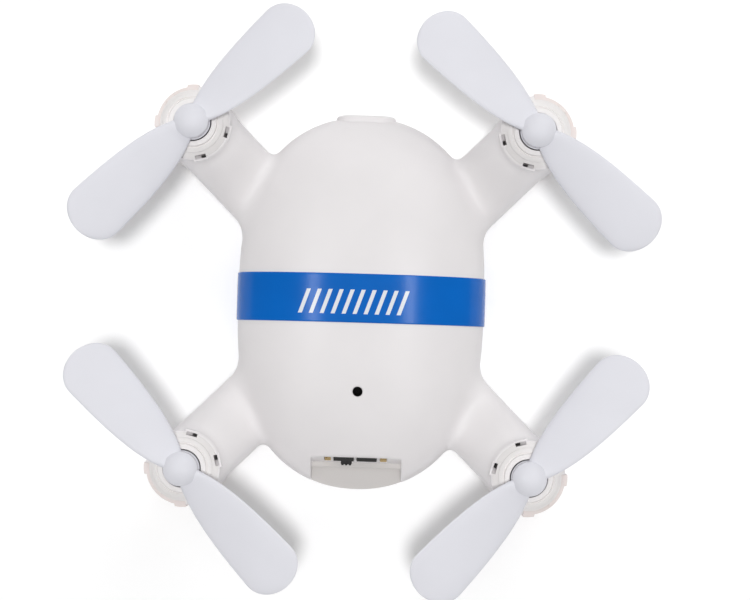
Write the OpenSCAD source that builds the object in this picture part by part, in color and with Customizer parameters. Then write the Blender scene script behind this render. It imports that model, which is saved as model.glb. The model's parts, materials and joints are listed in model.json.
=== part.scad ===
// Mini palm quadcopter: an egg-shaped two-part shell with four arms, each ending in a motor pod.
// Every pod holds a coreless motor, a retaining ring, a lamp foot and a two-blade propeller.
// Front is +Y and up is +Z. The origin is on the ground, under the centre of the body.

/* [Body] */
// Distance between neighbouring propeller axes
hub_pitch = 60; // [58:0.5:62]
// Width of the egg-shaped body
body_w = 43.8; // [42:0.2:45]
// Reach of the body in front of the centre
body_front = 32.8; // [31.6:0.1:33.4]
// Reach of the body behind the centre
body_rear = 33.5; // [32.8:0.1:34]
// Height of the top of the body
body_top = 25.4; // [25:0.1:25.8]
// Height of the underside of the belly
belly_z = 2; // [1.4:0.1:2.4]
// Height of the seam between the two shells
seam_z = 13.5; // [13.2:0.1:13.8]
// Thickness of the moulded shell
wall = 1.2; // [1:0.05:1.4]
// Squareness of the egg across its length: 2 is an ellipse and larger is boxier
egg_power = 2.1; // [2.05:0.05:2.3]
// Squareness of the egg along its length
length_power = 2.85; // [2.5:0.05:3]

/* [Arms and pods] */
// Width of an arm
arm_w = 12.4; // [12:0.1:12.8]
// Height of the ridge of an arm at its pod
arm_top = 22.2; // [21.6:0.1:22.6]
// Height of the ridge of an arm where it leaves the body
arm_root = 17; // [16.5:0.1:19]
// Height of the underside of an arm
arm_bottom = 6.4; // [6:0.1:6.8]
// Radius of a pod barrel
pod_r = 6.5; // [6.4:0.05:6.8]
// Radius of the barrel behind the lamp cover
pod_core_r = 5.65; // [5.5:0.05:5.75]
// Height of the top of a pod barrel
pod_top = 22.7; // [22.5:0.05:22.8]
// Height of the bottom of a pod barrel
pod_bottom = 2.6; // [2.4:0.1:2.8]
// Half of the angle that a lamp cover wraps round its pod
lamp_half_angle = 52; // [48:1:58]

/* [Motors] */
// Diameter of a motor can
motor_d = 7; // [6.9:0.05:7.05]
// Length of a motor can
motor_len = 16; // [15.6:0.1:16.2]
// Diameter of a motor shaft
shaft_d = 0.8; // [0.7:0.05:1]
// Gap all round a shaft in its bearings
bearing_gap = 0.04; // [0.02:0.01:0.08]

/* [Propellers] */
// Diameter of a propeller
prop_d = 54.6; // [54:0.2:55.4]
// Widest chord of a blade
blade_w = 10.9; // [10:0.1:11.2]
// Height of the middle of the blades
blade_z = 26.2; // [26:0.05:26.4]
// Pitch angle of a blade at its root
root_pitch = 20; // [14:1:22]
// Pitch angle of a blade at its tip
tip_pitch = 9; // [6:1:11]
// Thickness of a blade at its root
blade_t = 0.9; // [0.7:0.05:1]
// Height of the top of a hub
hub_top = 28.5; // [28.3:0.1:29]

/* [Trim and controls] */
// Width of the belt along the body
belt_w = 8.5; // [7:0.1:10]
// How far the belt stands proud of the shell
belt_t = 0.25; // [0.15:0.05:0.4]
// Width of the recess at the back
recess_w = 15.8; // [15:0.1:16.4]
// Travel of the slide switch
switch_travel = 1.2; // [0.8:0.1:1.3]
// Diameter of the pressure port in the top of the body
port_d = 1.7; // [1.2:0.1:2.2]

/* [Hidden] */
$fn = 64;
eps = 0.05;
// How far each half of a shell runs past the seam before it is cut there
lap = 1;
half_pitch = hub_pitch / 2;
diagonal = half_pitch * sqrt(2);
half_w = body_w / 2;
motor_r = motor_d / 2;
shaft_r = shaft_d / 2;
prop_r = prop_d / 2;

// Corner order: front left, front right, rear left, rear right
CORNER = ["fl", "fr", "rl", "rr"];
SIDE_X = [-1, 1, -1, 1];
SIDE_Y = [1, 1, -1, -1];
// Turning sense of each propeller seen from above: 1 is anticlockwise
SPIN = [-1, 1, 1, -1];
// Resting turn of each propeller away from square to its arm
PARK = [0, 2, -1, 3];

POD_PARTS = ["motor_can", "motor_cap", "motor_rotor", "propeller", "pod_ring", "lamp_foot", "foot_led",
             "pod_leads"];
BODY_PARTS = ["upper_shell", "lower_shell", "belt_upper", "belt_lower", "nose_bezel", "nose_lens",
              "nose_leds", "main_board", "board_chips", "radio_shield", "crystal", "pressure_sensor",
              "antenna_wire", "battery_cell", "battery_pad", "battery_leads", "battery_plug",
              "battery_socket", "switch_case", "switch_knob", "charge_socket", "charge_pins",
              "port_tabs", "shell_screws"];

// Colours
shell_white = [0.93, 0.925, 0.91];
ring_cream = [0.95, 0.93, 0.88];
prop_white = [0.87, 0.88, 0.92];
lamp_peach = [0.93, 0.80, 0.73];
belt_blue = [0.02, 0.36, 0.75];
board_green = [0.05, 0.32, 0.18];
black_plastic = [0.06, 0.06, 0.07];
steel = [0.72, 0.72, 0.74];
gold = [0.83, 0.68, 0.36];

// ---------- egg surface ----------

sector = 7.5;
ROWS = [0, 8, 16, 25, 34, 44, 54, 65, 77];

// Point of the egg above or below the seam, with the skin moved out by grow.
// The shares of its three terms are cos^2 el cos^2 az, cos^2 el sin^2 az and sin^2 el
function egg_point(az, el, grow, rise) = [
    sign(cos(az)) * (half_w + grow) * pow(pow(cos(el) * cos(az), 2), 1 / egg_power),
    sign(sin(az)) * ((sin(az) > 0 ? body_front : body_rear) + grow)
        * pow(pow(cos(el) * sin(az), 2), 1 / length_power),
    (rise + grow) * pow(pow(sin(el), 2), 1 / egg_power)];

// One half of the egg as a solid that runs straight on past the seam: up is 1 or -1
module egg_half(up, grow) {
    rise = up > 0 ? body_top - seam_z : seam_z - belly_z;
    count = 360 / sector;
    rings = [for (el = ROWS) [for (k = [0:count - 1]) egg_point(k * sector, el, grow, rise)]];
    rim = [for (p = rings[0]) [p.x, p.y, -lap]];
    stack = concat([rim], rings);
    points = concat([[0, 0, -lap]], [for (ring = stack) each ring], [[0, 0, rise + grow]]);
    last = len(points) - 1;
    function at(row, k) = 1 + row * count + k % count;
    faces = concat(
        [for (k = [0:count - 1]) [0, at(0, k), at(0, k + 1)]],
        [for (row = [0:len(stack) - 2], k = [0:count - 1]) each [
            [at(row, k), at(row + 1, k), at(row + 1, k + 1)],
            [at(row, k), at(row + 1, k + 1), at(row, k + 1)]]],
        [for (k = [0:count - 1]) [at(len(stack) - 1, k), last, at(len(stack) - 1, k + 1)]]);
    translate([0, 0, seam_z]) mirror([0, 0, up > 0 ? 0 : 1]) polyhedron(points, faces);
}

// Closed tube or bar through a list of rings that all have the same number of points
module loft(rings) {
    n = len(rings[0]);
    last = len(rings) - 1;
    points = [for (ring = rings) each ring];
    faces = concat(
        [[for (k = [0:n - 1]) k]],
        [for (row = [0:last - 1], k = [0:n - 1]) each [
            [row * n + k, (row + 1) * n + k, (row + 1) * n + (k + 1) % n],
            [row * n + k, (row + 1) * n + (k + 1) % n, row * n + (k + 1) % n]]],
        [[for (k = [n - 1:-1:0]) last * n + k]]);
    polyhedron(points, faces);
}

// ---------- places ----------

// Move children to a pod, with +X pointing away from the body
module at_pod(i) {
    translate([SIDE_X[i] * half_pitch, SIDE_Y[i] * half_pitch, 0]) rotate(atan2(SIDE_Y[i], SIDE_X[i]))
        children();
}

module each_pod() {
    for (i = [0:3]) at_pod(i) children();
}

module box_between(a, b) {
    translate(a) cube(b - a);
}

// ---------- arms and barrels ----------

arm_r = arm_w / 2;
arm_power = 2.4;
// Where the ridge starts to climb and where it is level, as distance from the centre of the body
climb_start = 26;
climb_end = 37;
// How near to the pod axis the hollow of an arm comes
arm_end = 5.6;

function climb(along) = let (t = max(0, min(1, (along - climb_start) / (climb_end - climb_start))))
    t * t * (3 - 2 * t);

// Height of an arm's ridge over the seam, or depth of its underside below the seam
function arm_rise(up, along) =
    up > 0 ? arm_root + (arm_top - arm_root) * climb(along) - seam_z : seam_z - arm_bottom;

// Section of half an arm: a base that runs on past the seam, and a crown
function arm_ring(along, r, rise) = concat([[along, r, -lap]],
    [for (a = [0:12:180]) [along, sign(cos(a)) * r * pow(pow(cos(a), 2), 1 / arm_power),
                           rise * pow(pow(sin(a), 2), 1 / arm_power)]],
    [[along, -r, -lap]]);

// The half of every arm above or below the seam, up to a distance from the centre of the body
module arm_halves(up, inset, reach) {
    stations = concat([0, climb_start], [for (t = [0.2:0.2:0.8]) climb_start + t * (climb_end - climb_start)],
                      [min(climb_end, reach - eps), reach]);
    for (i = [0:3])
        translate([0, 0, seam_z]) mirror([0, 0, up > 0 ? 0 : 1]) rotate(atan2(SIDE_Y[i], SIDE_X[i]))
            loft([for (along = stations) arm_ring(along, arm_r - inset, arm_rise(up, along) - inset)]);
}

// Plan of the side of a pod that faces away from the body
module outer_side(half_angle) {
    reach = 3 * pod_r;
    polygon([[0, 0], [reach, reach * tan(half_angle)], [reach, -reach * tan(half_angle)]]);
}

module barrel_plan(r) {
    circle(pod_core_r);
    difference() {
        circle(r);
        outer_side(lamp_half_angle);
    }
}

module barrel(low, high) {
    translate([0, 0, low]) linear_extrude(high - low) barrel_plan(pod_r);
}

// ---------- places inside the body ----------

// Screw posts
POST_X = 12;
POST_Y = 19;
post_r = 2.2;
screw_r = 0.6;
head_r = 1.3;
head_z = 8;
screw_tip_z = 17;

module at_posts() {
    for (x = [-POST_X, POST_X], y = [-POST_Y, POST_Y]) translate([x, y, 0]) children();
}

// Main board
board_x = 14;
board_y = 16.5;
board_bottom = 15;
board_t = 1;
board_top = board_bottom + board_t;
tongue_x = 7;
tongue_y = -26.6;
standoff_x = 12.3;
standoff_y = 10;

// Battery
battery_x = 10;
battery_y = 15;
battery_low = 5.6;
battery_high = 13.4;

// Motor heights
can_top = 22.2;
can_bottom = can_top - motor_len;
cap_bottom = can_bottom - 1.2;
shaft_top = 27;
sleeve_gap = 0.05;

// Recess at the back: a wall that leans forward, a ledge under its windows and a floor at the seam
recess_half = recess_w / 2;
ledge_z = 16.5;
ledge_front = -28.5;
ledge_rear = -29.55;
recess_lean = 0.244;

// The recess moved forward and down by a thickness, so that thickness 0 is the open space itself
module recess_prism(half, thickness) {
    top_z = body_top + 1;
    front = ledge_front + thickness;
    shelf = ledge_z - thickness;
    rear = -body_rear - 3;
    translate([-half, 0, 0]) rotate([90, 0, 90]) linear_extrude(2 * half) polygon([
        [front, shelf],
        [front + recess_lean * (top_z - shelf), top_z],
        [rear, top_z],
        [rear, seam_z - 2 * lap],
        [ledge_rear + thickness, seam_z - 2 * lap],
        [ledge_rear + thickness, shelf]]);
}

// Windows in the recess wall, left to right: lug, switch, socket, lug
WINDOWS = [[-5.6, -4.4], [-4, -0.3], [0.05, 3.7], [4.15, 5.5]];
window_low = 16.9;
window_high = 20.6;

// Nose
nose_w = 10.6;
nose_h = 7;
nose_z = 13.8;
nose_reach = body_front + 0.1;

// Rounded bar along Y, for the nose opening, its bezel and its lens
module nose_bar(w, h, back, front) {
    corner = h / 2;
    translate([0, front, nose_z]) rotate([90, 0, 0]) linear_extrude(front - back) {
        square([w - 2 * corner, h], center = true);
        for (x = [-1, 1]) translate([x * (w / 2 - corner), 0]) circle(corner);
    }
}

// Slots beside each pod that take the clips of a propeller guard
clip_angle = 31;
clip_r = 6;
clip_len = 1.9;
clip_w = 0.6;
clip_floor = 14.2;
clip_rim_t = 0.4;
// Drop of the ramp that leads a clip into the deep half of its slot
clip_ramp = 1.1;

module at_clips() {
    for (side = [-1, 1]) rotate(180 + side * clip_angle) translate([clip_r, 0, 0])
        mirror([0, side > 0 ? 1 : 0, 0]) children();
}

// ---------- shells ----------

module beyond_seam(low, high) {
    box_between([-hub_pitch, -hub_pitch, low], [hub_pitch, hub_pitch, high]);
}

module upper_shell() {
    color(shell_white) difference() {
        union() {
            egg_half(1, 0);
            arm_halves(1, 0, diagonal - 1);
            each_pod() barrel(seam_z - lap, pod_top);
            each_pod() at_clips() clip_rim();
        }
        beyond_seam(seam_z - 2 * lap, seam_z);
        upper_cavity();
        each_pod() translate([0, 0, seam_z - 1]) cylinder(r = motor_r + sleeve_gap, h = pod_top);
        each_pod() translate([0, 0, can_top]) cylinder(r = ring_sleeve_r + sleeve_gap, h = 2);
        each_pod() at_clips() clip_slot();
        at_posts() translate([0, 0, seam_z - 1]) cylinder(r = screw_r + 0.02, h = screw_tip_z - seam_z + 1.5);
        translate([0, -15.9, seam_z]) cylinder(d = port_d, h = body_top);
        recess_prism(recess_half, 0);
        for (w = WINDOWS) box_between([w[0], -body_rear, window_low], [w[1], tongue_y + 1, window_high]);
        nose_bar(nose_w + 0.1, nose_h + 0.1, body_front - 6, nose_reach + 1);
    }
}

module upper_cavity() {
    difference() {
        union() {
            egg_half(1, -wall);
            arm_halves(1, wall, diagonal - arm_end);
        }
        recess_prism(recess_half + wall, wall);
        at_posts() cylinder(r = post_r, h = body_top);
    }
}

module clip_rim() {
    box_between([clip_w / 2, -clip_len / 2 - clip_rim_t, arm_top - 1.6],
                [clip_w / 2 + clip_rim_t, clip_len / 2 + clip_rim_t, arm_top + 0.3]);
}

module clip_slot() {
    translate([-clip_w / 2, 0, 0]) rotate([90, 0, 90]) linear_extrude(clip_w) polygon([
        [clip_len / 2, clip_floor], [clip_len / 2, pod_top + 1], [-clip_len / 2, pod_top + 1],
        [-clip_len / 2, arm_top], [0, arm_top - clip_ramp], [0, clip_floor]]);
}

module lower_shell() {
    color(shell_white) difference() {
        union() {
            egg_half(-1, 0);
            arm_halves(-1, 0, diagonal - 1);
            each_pod() barrel(pod_bottom, seam_z + lap);
        }
        beyond_seam(seam_z, seam_z + 2 * lap);
        lower_cavity();
        each_pod() translate([0, 0, pod_bottom - 1]) cylinder(r = motor_r + sleeve_gap, h = seam_z);
        each_pod() box_between([-5.2, -1.6, pod_bottom - 1], [0, 1.6, 10.8]);
        each_pod() box_between([-8, -1.6, 8.2], [-4, 1.6, 10.8]);
        at_posts() cylinder(r = screw_r + 0.15, h = seam_z + 1);
        at_posts() cylinder(r = head_r + 0.15, h = head_z);
        nose_bar(nose_w + 0.1, nose_h + 0.1, body_front - 6, nose_reach + 1);
    }
}

module lower_cavity() {
    difference() {
        union() {
            egg_half(-1, -wall);
            arm_halves(-1, wall, diagonal - arm_end);
        }
        at_posts() cylinder(r = post_r, h = seam_z + lap);
        for (x = [-standoff_x, standoff_x], y = [-standoff_y, standoff_y])
            translate([x, y, 0]) cylinder(r = 1.2, h = board_bottom);
        for (y = [-9, 9]) box_between([-battery_x, y - 0.6, 0], [battery_x, y + 0.6, battery_low]);
        box_between([-recess_half - wall, -body_rear, seam_z - wall],
                    [recess_half + wall, ledge_rear + wall, seam_z + lap]);
    }
}

// ---------- belt ----------

belt_front = 4.5;
// Room under the belt for the facets of the shell
belt_gap = 0.09;

// Radius of the egg in the plane at y, at an angle round the Y axis from +X
function belt_reach(y, angle, grow) =
    let (rise = sin(angle) > 0 ? body_top - seam_z : seam_z - belly_z,
         left = 1 - pow(abs(y) / ((y > 0 ? body_front : body_rear) + grow), length_power))
    pow(left / (pow(abs(cos(angle)) / (half_w + grow), egg_power)
        + pow(abs(sin(angle)) / (rise + grow), egg_power)), 1 / egg_power);

function belt_point(y, angle, grow) =
    [belt_reach(y, angle, grow) * cos(angle), y, seam_z + belt_reach(y, angle, grow) * sin(angle)];

module belt(first, last) {
    stations = [for (k = [0:3]) belt_front - k * belt_w / 3];
    loft([for (angle = [first:5:last]) concat(
        [for (y = stations) belt_point(y, angle, belt_t)],
        [for (k = [3:-1:0]) belt_point(stations[k], angle, belt_gap)])]);
}

module belt_upper() {
    color(belt_blue) belt(0, 180);
}

module belt_lower() {
    color(belt_blue) belt(180, 360);
}

// ---------- nose ----------

module nose_bezel() {
    color(shell_white) difference() {
        nose_bar(nose_w, nose_h, body_front - 2.6, nose_reach);
        nose_bar(nose_w - 2.4, nose_h - 2.4, body_front - 4, nose_reach + 1);
    }
}

module nose_lens() {
    color([0.85, 0.9, 0.95]) nose_bar(nose_w - 2.5, nose_h - 2.5, body_front - 1.4, nose_reach - 0.4);
}

module nose_leds() {
    for (x = [-2.2, 2.2]) translate([x, body_front - 5, nose_z]) {
        color(ring_cream) translate([-1.4, 0, -1]) cube([2.8, 1, 2]);
        color("lightyellow") translate([0, 1, 0]) rotate([-90, 0, 0]) cylinder(r = 0.8, h = 0.7);
    }
}

// ---------- electronics ----------

module main_board() {
    color(board_green) difference() {
        union() {
            box_between([-board_x, -board_y, board_bottom], [board_x, board_y, board_top]);
            box_between([-tongue_x, tongue_y, board_bottom], [tongue_x, -board_y + 1, board_top]);
        }
        for (x = [-standoff_x, standoff_x], y = [-standoff_y, standoff_y])
            translate([x, y, board_bottom - 1]) cylinder(r = 0.6, h = 3);
    }
}

// Size and place of each chip on the board: x, y, width, depth, height
CHIPS = [[0, -4, 5, 5, 0.9], [6, 3, 3, 3, 0.9], [-6, -10, 4, 5, 1.4], [6.5, -10, 3, 3, 1],
         [-11.5, 5, 1.6, 3, 1.1], [11.5, 5, 1.6, 3, 1.1], [-11.5, -5, 1.6, 3, 1.1], [11.5, -5, 1.6, 3, 1.1]];

module board_chips() {
    color(black_plastic) for (c = CHIPS)
        translate([c[0] - c[2] / 2, c[1] - c[3] / 2, board_top]) cube([c[2], c[3], c[4]]);
}

module radio_shield() {
    color(steel) box_between([1, 7.5, board_top], [9.4, 14.5, board_top + 1.8]);
}

module crystal() {
    color(steel) translate([-3.4, 2, board_top]) linear_extrude(1.4) {
        square([3, 2.4], center = true);
        for (x = [-1.5, 1.5]) translate([x, 0]) circle(1.2);
    }
}

module pressure_sensor() {
    color(black_plastic) difference() {
        translate([-1.5, -17.4, board_top]) cube([3, 3, 1.1]);
        translate([0, -15.9, board_top + 0.6]) cylinder(r = 0.35, h = 1);
    }
}

module battery_cell() {
    color([0.75, 0.77, 0.8]) box_between([-battery_x, -battery_y, battery_low],
                                         [battery_x, battery_y, battery_high]);
}

module battery_pad() {
    color([0.2, 0.2, 0.22]) box_between([-8, -12, battery_high], [8, 12, board_bottom]);
}

module battery_socket() {
    color("white") difference() {
        box_between([-10, 11, board_top], [-5, 15.5, board_top + 3.4]);
        box_between([-9.5, 13, board_top + 0.5], [-5.5, 16, board_top + 2.9]);
    }
}

module battery_plug() {
    color("white") box_between([-9.4, 13.1, board_top + 0.6], [-5.6, 17.4, board_top + 2.8]);
}

module shell_screws() {
    color(steel) at_posts() {
        translate([0, 0, head_z - 1]) difference() {
            cylinder(r = head_r, h = 1);
            for (turn = [0, 90]) rotate(turn) translate([-0.8, -0.15, -eps]) cube([1.6, 0.3, 0.5]);
        }
        translate([0, 0, head_z]) cylinder(r = screw_r, h = screw_tip_z - head_z);
    }
}

// ---------- wires ----------

// Ring of eight points round a route point, square to the route's direction there.
// across is a direction that the route never follows, so that the rings don't turn along it
function wire_ring(p, dir, across, r) =
    let (d = dir / norm(dir),
         side = cross(d, across),
         u = side / norm(side),
         v = cross(d, u))
    [for (a = [0:45:315]) p + r * (cos(a) * u + sin(a) * v)];

// Point on a smooth curve through four route points
function curve_point(a, b, c, d, t) =
    0.5 * (2 * b + (c - a) * t + (2 * a - 5 * b + 4 * c - d) * t * t + (3 * b - a - 3 * c + d) * t * t * t);

function smooth_route(route) =
    let (n = len(route) - 1)
    concat([for (k = [0:n - 1], t = [0, 0.5])
        curve_point(route[max(k - 1, 0)], route[k], route[k + 1], route[min(k + 2, n)], t)], [route[n]]);

module wire(route, across, r) {
    path = smooth_route(route);
    n = len(path) - 1;
    loft([for (k = [0:n]) wire_ring(path[k], path[min(k + 1, n)] - path[max(k - 1, 0)], across, r)]);
}

wire_r = 0.28;
lead_r = 0.35;
antenna_r = 0.3;

// Routes of the battery leads, from the cell to the plug
RED_ROUTE = [[-6, 15.1, 10], [-6, 16.6, 10], [-7, 18.8, 11], [-8.2, 19.8, 14], [-8.2, 19.4, 16.8],
             [-8.2, 17.5, 17.7]];
BLACK_ROUTE = [[-4, 15.1, 10], [-4, 16.6, 10], [-5.2, 18.8, 11], [-6.8, 19.8, 14], [-6.8, 19.4, 16.8],
               [-6.8, 17.5, 17.7]];

module battery_leads() {
    color("red") wire(RED_ROUTE, [1, 0, 0], lead_r);
    color("black") wire(BLACK_ROUTE, [1, 0, 0], lead_r);
}

// Route of the antenna, from the radio up round the inside of the top shell
ANTENNA_ROUTE = [[7, 14.6, 16.8], [7, 16.4, 17], [6, 18.6, 17.8], [2, 20.6, 18.8], [-2, 21, 19],
                 [-5, 20.4, 18.8]];

module antenna_wire() {
    color([0.2, 0.2, 0.2]) wire(ANTENNA_ROUTE, [0, 0, 1], antenna_r);
}

// Routes of a pod's wires along its arm, as distance from the pod axis and height
MOTOR_RUN = [[-1, 4.95], [-1.4, 4.3], [-2.6, 4], [-4, 4.6], [-4.7, 6.4], [-4.9, 8.4], [-6.2, 9.5],
             [-10, 9.8], [-15, 10.6], [-19, 13], [-20.8, 16], [-23, 16.9], [-24.4, 16.3]];
LED_RUN = [[-0.4, 1.4], [-1.3, 1.8], [-2, 2.9], [-3, 3.9], [-4.1, 4.6], [-4.7, 6.4], [-4.9, 8.4],
           [-6.2, 9.5], [-10, 9.8], [-15, 10.6], [-19, 13], [-20.8, 16], [-23, 16.9], [-24.4, 16.3]];

module pod_wire(run, y) {
    wire([for (p = run) [p[0], y, p[1]]], [0, 1, 0], wire_r);
}

module pod_leads(i) {
    at_pod(i) {
        color("red") pod_wire(MOTOR_RUN, 1.05);
        color("blue") pod_wire(MOTOR_RUN, -1.05);
        color("white") pod_wire(LED_RUN, 0.35);
        color("black") pod_wire(LED_RUN, -0.35);
    }
}

// ---------- switch and charging socket ----------

// Back of the tongue parts, and how far the parts in the windows reach through the recess wall
switch_y = -26.1;
window_front = -28.2;
socket_top = 19.9;
knob_tip = -28.8;
knob_left = -2.65;
knob_right = -0.75;
knob_low = 17.2;
knob_high = 18.9;
knob_gap = 0.2;

module switch_case() {
    color(black_plastic) difference() {
        union() {
            box_between([-4.2, switch_y, board_top], [-0.1, switch_y + 3, socket_top]);
            box_between([-3.9, window_front, knob_high + knob_gap], [-0.4, switch_y + 1, socket_top]);
        }
        box_between([knob_left - switch_travel - knob_gap, switch_y - 1, knob_low - knob_gap],
                    [knob_right + knob_gap, switch_y + 1.6, knob_high + knob_gap]);
    }
}

module switch_knob() {
    color(black_plastic) {
        box_between([knob_left, knob_tip, knob_low], [knob_right, switch_y + 1.2, knob_high]);
        for (x = [knob_left, knob_left + 0.7, knob_left + 1.4])
            box_between([x, knob_tip - 0.2, knob_low], [x + 0.5, knob_tip + eps, knob_high]);
    }
}

// Opening of the charging socket
charge_left = 0.6;
charge_right = 3.2;
charge_low = 17.3;
charge_high = 19.5;
pin_r = 0.25;

module charge_socket() {
    color(black_plastic) difference() {
        union() {
            box_between([0.15, switch_y, board_top], [3.6, switch_y + 5, socket_top]);
            box_between([0.15, window_front, 17], [3.6, switch_y + 1, socket_top]);
        }
        box_between([charge_left, window_front - 1, charge_low], [charge_right, switch_y + 3.6, charge_high]);
        pin_rods(pin_r + 0.01);
    }
}

module pin_rods(r) {
    for (x = [1.3, 2.5])
        translate([x, window_front + 0.5, (charge_low + charge_high) / 2]) rotate([-90, 0, 0])
            cylinder(r = r, h = 7);
}

module charge_pins() {
    color(gold) pin_rods(pin_r);
}

module port_tabs() {
    color(gold) for (x = [-5.5, 4.25]) {
        box_between([x, switch_y, board_top], [x + 1.1, switch_y + 2, 19]);
        box_between([x, window_front, 17], [x + 1.1, switch_y + 1, 19]);
    }
}

// ---------- motors ----------

can_wall = 0.25;
ring_sleeve_r = 4;
ring_hole_r = 3.35;

module motor_can(i) {
    color(steel) at_pod(i) difference() {
        union() {
            difference() {
                translate([0, 0, can_bottom]) cylinder(r = motor_r, h = motor_len);
                translate([0, 0, can_bottom - 1]) cylinder(r = motor_r - can_wall, h = motor_len + 0.5);
            }
            translate([0, 0, can_bottom + 3]) cylinder(r = 2.3, h = motor_len - 3.2);
            translate([0, 0, can_top - 0.2]) cylinder(r = 1, h = 0.7);
        }
        translate([0, 0, can_bottom]) cylinder(r = shaft_r + bearing_gap, h = 2 * motor_len);
    }
}

module motor_cap(i) {
    color("white") at_pod(i) difference() {
        union() {
            translate([0, 0, cap_bottom]) cylinder(r = motor_r, h = can_bottom - cap_bottom);
            translate([0, 0, can_bottom - 0.1]) cylinder(r = motor_r - can_wall - 0.02, h = 0.7);
        }
        translate([0, 0, cap_bottom + 0.3]) cylinder(r = shaft_r + bearing_gap, h = 3);
    }
}

module motor_rotor(i) {
    coil_low = can_bottom + 1.4;
    color(gold) at_pod(i) {
        translate([0, 0, cap_bottom + 0.4]) cylinder(r = shaft_r, h = shaft_top - cap_bottom - 0.4);
        difference() {
            translate([0, 0, coil_low]) cylinder(r = 2.95, h = motor_len - 3);
            translate([0, 0, coil_low + 0.8]) cylinder(r = 2.55, h = motor_len);
        }
    }
}

module pod_ring(i) {
    color(ring_cream) at_pod(i) difference() {
        rotate_extrude() polygon([
            [ring_hole_r, can_top + 0.2], [ring_sleeve_r, can_top + 0.2], [ring_sleeve_r, pod_top],
            [6.2, pod_top], [6.2, pod_top + 0.3], [5.3, pod_top + 0.95], [5.2, pod_top + 1.2],
            [4.5, pod_top + 1.6], [4.4, pod_top + 1.4], [4.3, pod_top + 1.4], [4.2, pod_top + 1.8],
            [4.1, pod_top + 1.9], [ring_hole_r + 0.1, pod_top + 1.9], [ring_hole_r, pod_top + 1.8]]);
        translate([0, 0, pod_top - 0.5]) linear_extrude(3) difference() {
            outer_side(lamp_half_angle);
            circle(lip_in - lip_gap);
        }
        at_clips() clip_slot();
    }
}

// ---------- lamp foot ----------

lamp_top = 21.8;
lip_in = 5.75;
lip_gap = 0.03;
tab_top = 22.6;
tab_w = 1.6;
end_rib_r = 6.9;
end_rib_w = 2;

module lamp_foot(i) {
    bend = 2.6;
    flat_r = 6.3 - bend;
    bowl_edge = [for (a = [-90:15:0]) [flat_r + bend * cos(a), bend + bend * sin(a)]];
    color(lamp_peach) at_pod(i) {
        rotate_extrude() polygon(concat([[0, 0]], bowl_edge,
            [[3.45, bend], [3.45, bend + 0.8], [2.9, bend + 0.8], [2.9, 0.9], [0, 0.9]]));
        translate([0, 0, bend - 0.9]) linear_extrude(lamp_top - bend + 0.9) intersection() {
            difference() {
                union() {
                    circle(pod_r);
                    intersection() {
                        circle(end_rib_r);
                        for (side = [-1, 1]) rotate(side * (lamp_half_angle - 1))
                            translate([0, side > 0 ? -end_rib_w : 0]) square([2 * pod_r, end_rib_w]);
                    }
                }
                circle(lip_in);
            }
            outer_side(lamp_half_angle - 1);
        }
        box_between([lip_in, -tab_w / 2, lamp_top - 1], [lip_in + 0.45, tab_w / 2, tab_top]);
    }
}

module foot_led(i) {
    color("ivory") at_pod(i) {
        translate([-0.2, -0.65, 0.9]) cube([2, 1.3, 0.7]);
        translate([0.8, 0, 1.6]) cylinder(r = 0.5, h = 0.3);
    }
}

// ---------- propellers ----------

hub_r = 2.8;
collar_r = 3.1;
dome_h = 1.3;
root_r = 1.6;
tip_start = 22.6;

// Half of the chord at a radius: it widens along the blade and closes in a round tip
function half_chord(r) =
    blade_w / 2 * (1 - exp(-(r + 1.6) / 7.2))
    * (r > tip_start ? sqrt(max(0, 1 - pow((r - tip_start) / (prop_r - tip_start), 2))) : 1);

function pitch_at(r) = root_pitch + (tip_pitch - root_pitch) * (r - root_r) / (prop_r - root_r);

// Ring of points round the blade at a radius; u is 1 at one edge and -1 at the other
function blade_ring(r, spin) =
    let (half = half_chord(r),
         thick = blade_t * (1 - 0.4 * r / prop_r),
         across = [1, 0.92, 0.6, 0, -0.6, -0.92, -1],
         under = [-0.92, -0.6, 0, 0.6, 0.92],
         arch = 0.05 * half)
    concat(
        [for (u = across) blade_point(r, u * half, arch * (1 - u * u) + thick / 2 * edge_fade(u), spin)],
        [for (u = under) blade_point(r, u * half, arch * (1 - u * u) - thick / 2 * edge_fade(u), spin)]);

function edge_fade(u) = sqrt(max(0, 1 - pow(abs(u), 6)));

function blade_point(r, along, up, spin) =
    let (a = spin * pitch_at(r)) [r, along * cos(a) - up * sin(a), blade_z + along * sin(a) + up * cos(a)];

module blade(spin) {
    inner = [for (r = [root_r:1.75:tip_start]) r];
    outer = [for (a = [0, 18, 34, 48, 60, 70, 78, 84]) tip_start + (prop_r - tip_start) * sin(a)];
    loft([for (r = concat(inner, outer)) blade_ring(r, spin)]);
}

module propeller(i) {
    dome_r = (hub_r * hub_r + dome_h * dome_h) / (2 * dome_h);
    collar_low = can_top + 1.3;
    color(prop_white) at_pod(i) rotate(90 + PARK[i]) difference() {
        union() {
            translate([0, 0, collar_low]) cylinder(r = collar_r, h = 1.3);
            intersection() {
                translate([0, 0, collar_low]) cylinder(r = hub_r, h = hub_top);
                translate([0, 0, hub_top - dome_r]) sphere(dome_r);
            }
            for (half = [0, 180]) rotate(half) blade(SPIN[i]);
        }
        translate([0, 0, collar_low - 1]) cylinder(r = shaft_r + 0.01, h = shaft_top - collar_low + 1);
    }
}

// ---------- drawing ----------

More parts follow.
